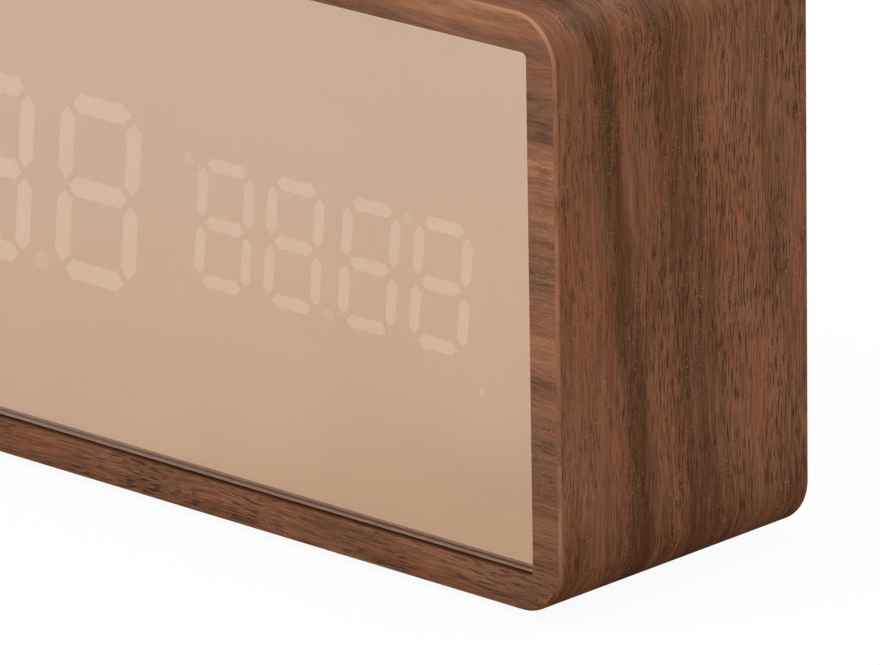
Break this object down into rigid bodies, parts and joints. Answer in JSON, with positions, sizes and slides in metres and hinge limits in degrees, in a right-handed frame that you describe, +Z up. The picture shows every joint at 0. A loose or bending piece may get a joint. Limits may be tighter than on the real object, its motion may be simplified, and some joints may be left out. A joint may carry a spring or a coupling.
{
  "type": "digital alarm clock",
  "caption": "Box-shaped digital alarm clock: a rounded wood-veneer sleeve round a tinted mirror front with slanted seven-segment digits, and keys, supply inlet and battery door behind.",
  "frame": {"origin": "on the floor under the middle of the case, where the feet stand", "axes": "+X to the viewer's right along the front, +Y from the display to the back, +Z up"},
  "size_m": [0.16, 0.045, 0.0762],
  "materials": {
    "walnut_veneer": "walnut veneer, satin lacquer",
    "tinted_mirror": "rose-tinted half mirror, polished",
    "black_foam": "closed-cell foam tape",
    "black_plastic": "fine moulded texture",
    "grey_plastic": "dark warm grey, moulded",
    "milky_plastic": "milky light-spreading plastic",
    "board_green": "green solder mask over glass laminate",
    "chip_black": "moulded component black",
    "socket_cream": "cream nylon",
    "ribbon_grey": "grey insulated flat cable",
    "steel": "nickel-plated steel",
    "spring_nickel": "nickel-plated spring steel",
    "cell_wrap": "dark plain wrap over the can",
    "rubber": "black rubber pad",
    "lead_red": "red insulated wire",
    "lead_black": "black insulated wire"
  },
  "bodies": {
    "case": {"case_sleeve": "walnut_veneer", "front_lens": "tinted_mirror", "lens_tape": "black_foam", "inner_frame": "black_plastic", "rear_cover": "black_plastic", "large_digit_block": "grey_plastic", "small_digit_block": "grey_plastic", "large_light_guide": "milky_plastic", "small_light_guide": "milky_plastic", "display_board": "board_green", "control_board": "board_green", "driver_chip": "chip_black", "clock_chip": "chip_black", "key_switch_1": "chip_black", "key_switch_2": "chip_black", "key_switch_3": "chip_black", "key_switch_4": "chip_black", "sounder": "chip_black", "temperature_sensor": "chip_black", "display_socket": "socket_cream", "control_socket": "socket_cream", "ribbon_cable": "ribbon_grey", "slide_switch": "steel", "supply_socket": "steel", "cover_screw_1": "steel", "cover_screw_2": "steel", "cover_screw_3": "steel", "cover_screw_4": "steel", "display_screw_1": "steel", "display_screw_2": "steel", "display_screw_3": "steel", "display_screw_4": "steel", "control_screw_1": "steel", "control_screw_2": "steel", "positive_contact": "spring_nickel", "negative_contact": "spring_nickel", "left_link_contact": "spring_nickel", "right_link_contact": "spring_nickel", "battery_spring_1": "spring_nickel", "battery_spring_2": "spring_nickel", "battery_spring_3": "spring_nickel", "battery_1": "cell_wrap", "battery_2": "cell_wrap", "battery_3": "cell_wrap", "foot_1": "rubber", "foot_2": "rubber", "foot_3": "rubber", "foot_4": "rubber", "red_lead": "lead_red", "black_lead": "lead_black"},
    "set_key": {"set_key": "black_plastic"},
    "up_key": {"up_key": "black_plastic"},
    "down_key": {"down_key": "black_plastic"},
    "alarm_key": {"alarm_key": "black_plastic"},
    "alarm_switch": {"alarm_switch_knob": "black_plastic"},
    "battery_door": {"battery_door": "black_plastic"}
  },
  "joints": [
    {"name": "set_key_press", "type": "slide", "parent": "case", "child": "set_key", "axis": [0, -1, 0], "range_m": [0, 0.0006], "stiffness_N_per_m": 400, "springref_m": -0.0005},
    {"name": "up_key_press", "type": "slide", "parent": "case", "child": "up_key", "axis": [0, -1, 0], "range_m": [0, 0.0006], "stiffness_N_per_m": 400, "springref_m": -0.0005},
    {"name": "down_key_press", "type": "slide", "parent": "case", "child": "down_key", "axis": [0, -1, 0], "range_m": [0, 0.0006], "stiffness_N_per_m": 400, "springref_m": -0.0005},
    {"name": "alarm_key_press", "type": "slide", "parent": "case", "child": "alarm_key", "axis": [0, -1, 0], "range_m": [0, 0.0006], "stiffness_N_per_m": 400, "springref_m": -0.0005},
    {"name": "alarm_switch_slide", "type": "slide", "parent": "case", "child": "alarm_switch", "axis": [1, 0, 0], "range_m": [0, 0.002]},
    {"name": "battery_door_lift", "type": "slide", "parent": "case", "child": "battery_door", "axis": [0, 1, 0], "range_m": [0, 0.02]}
  ]
}
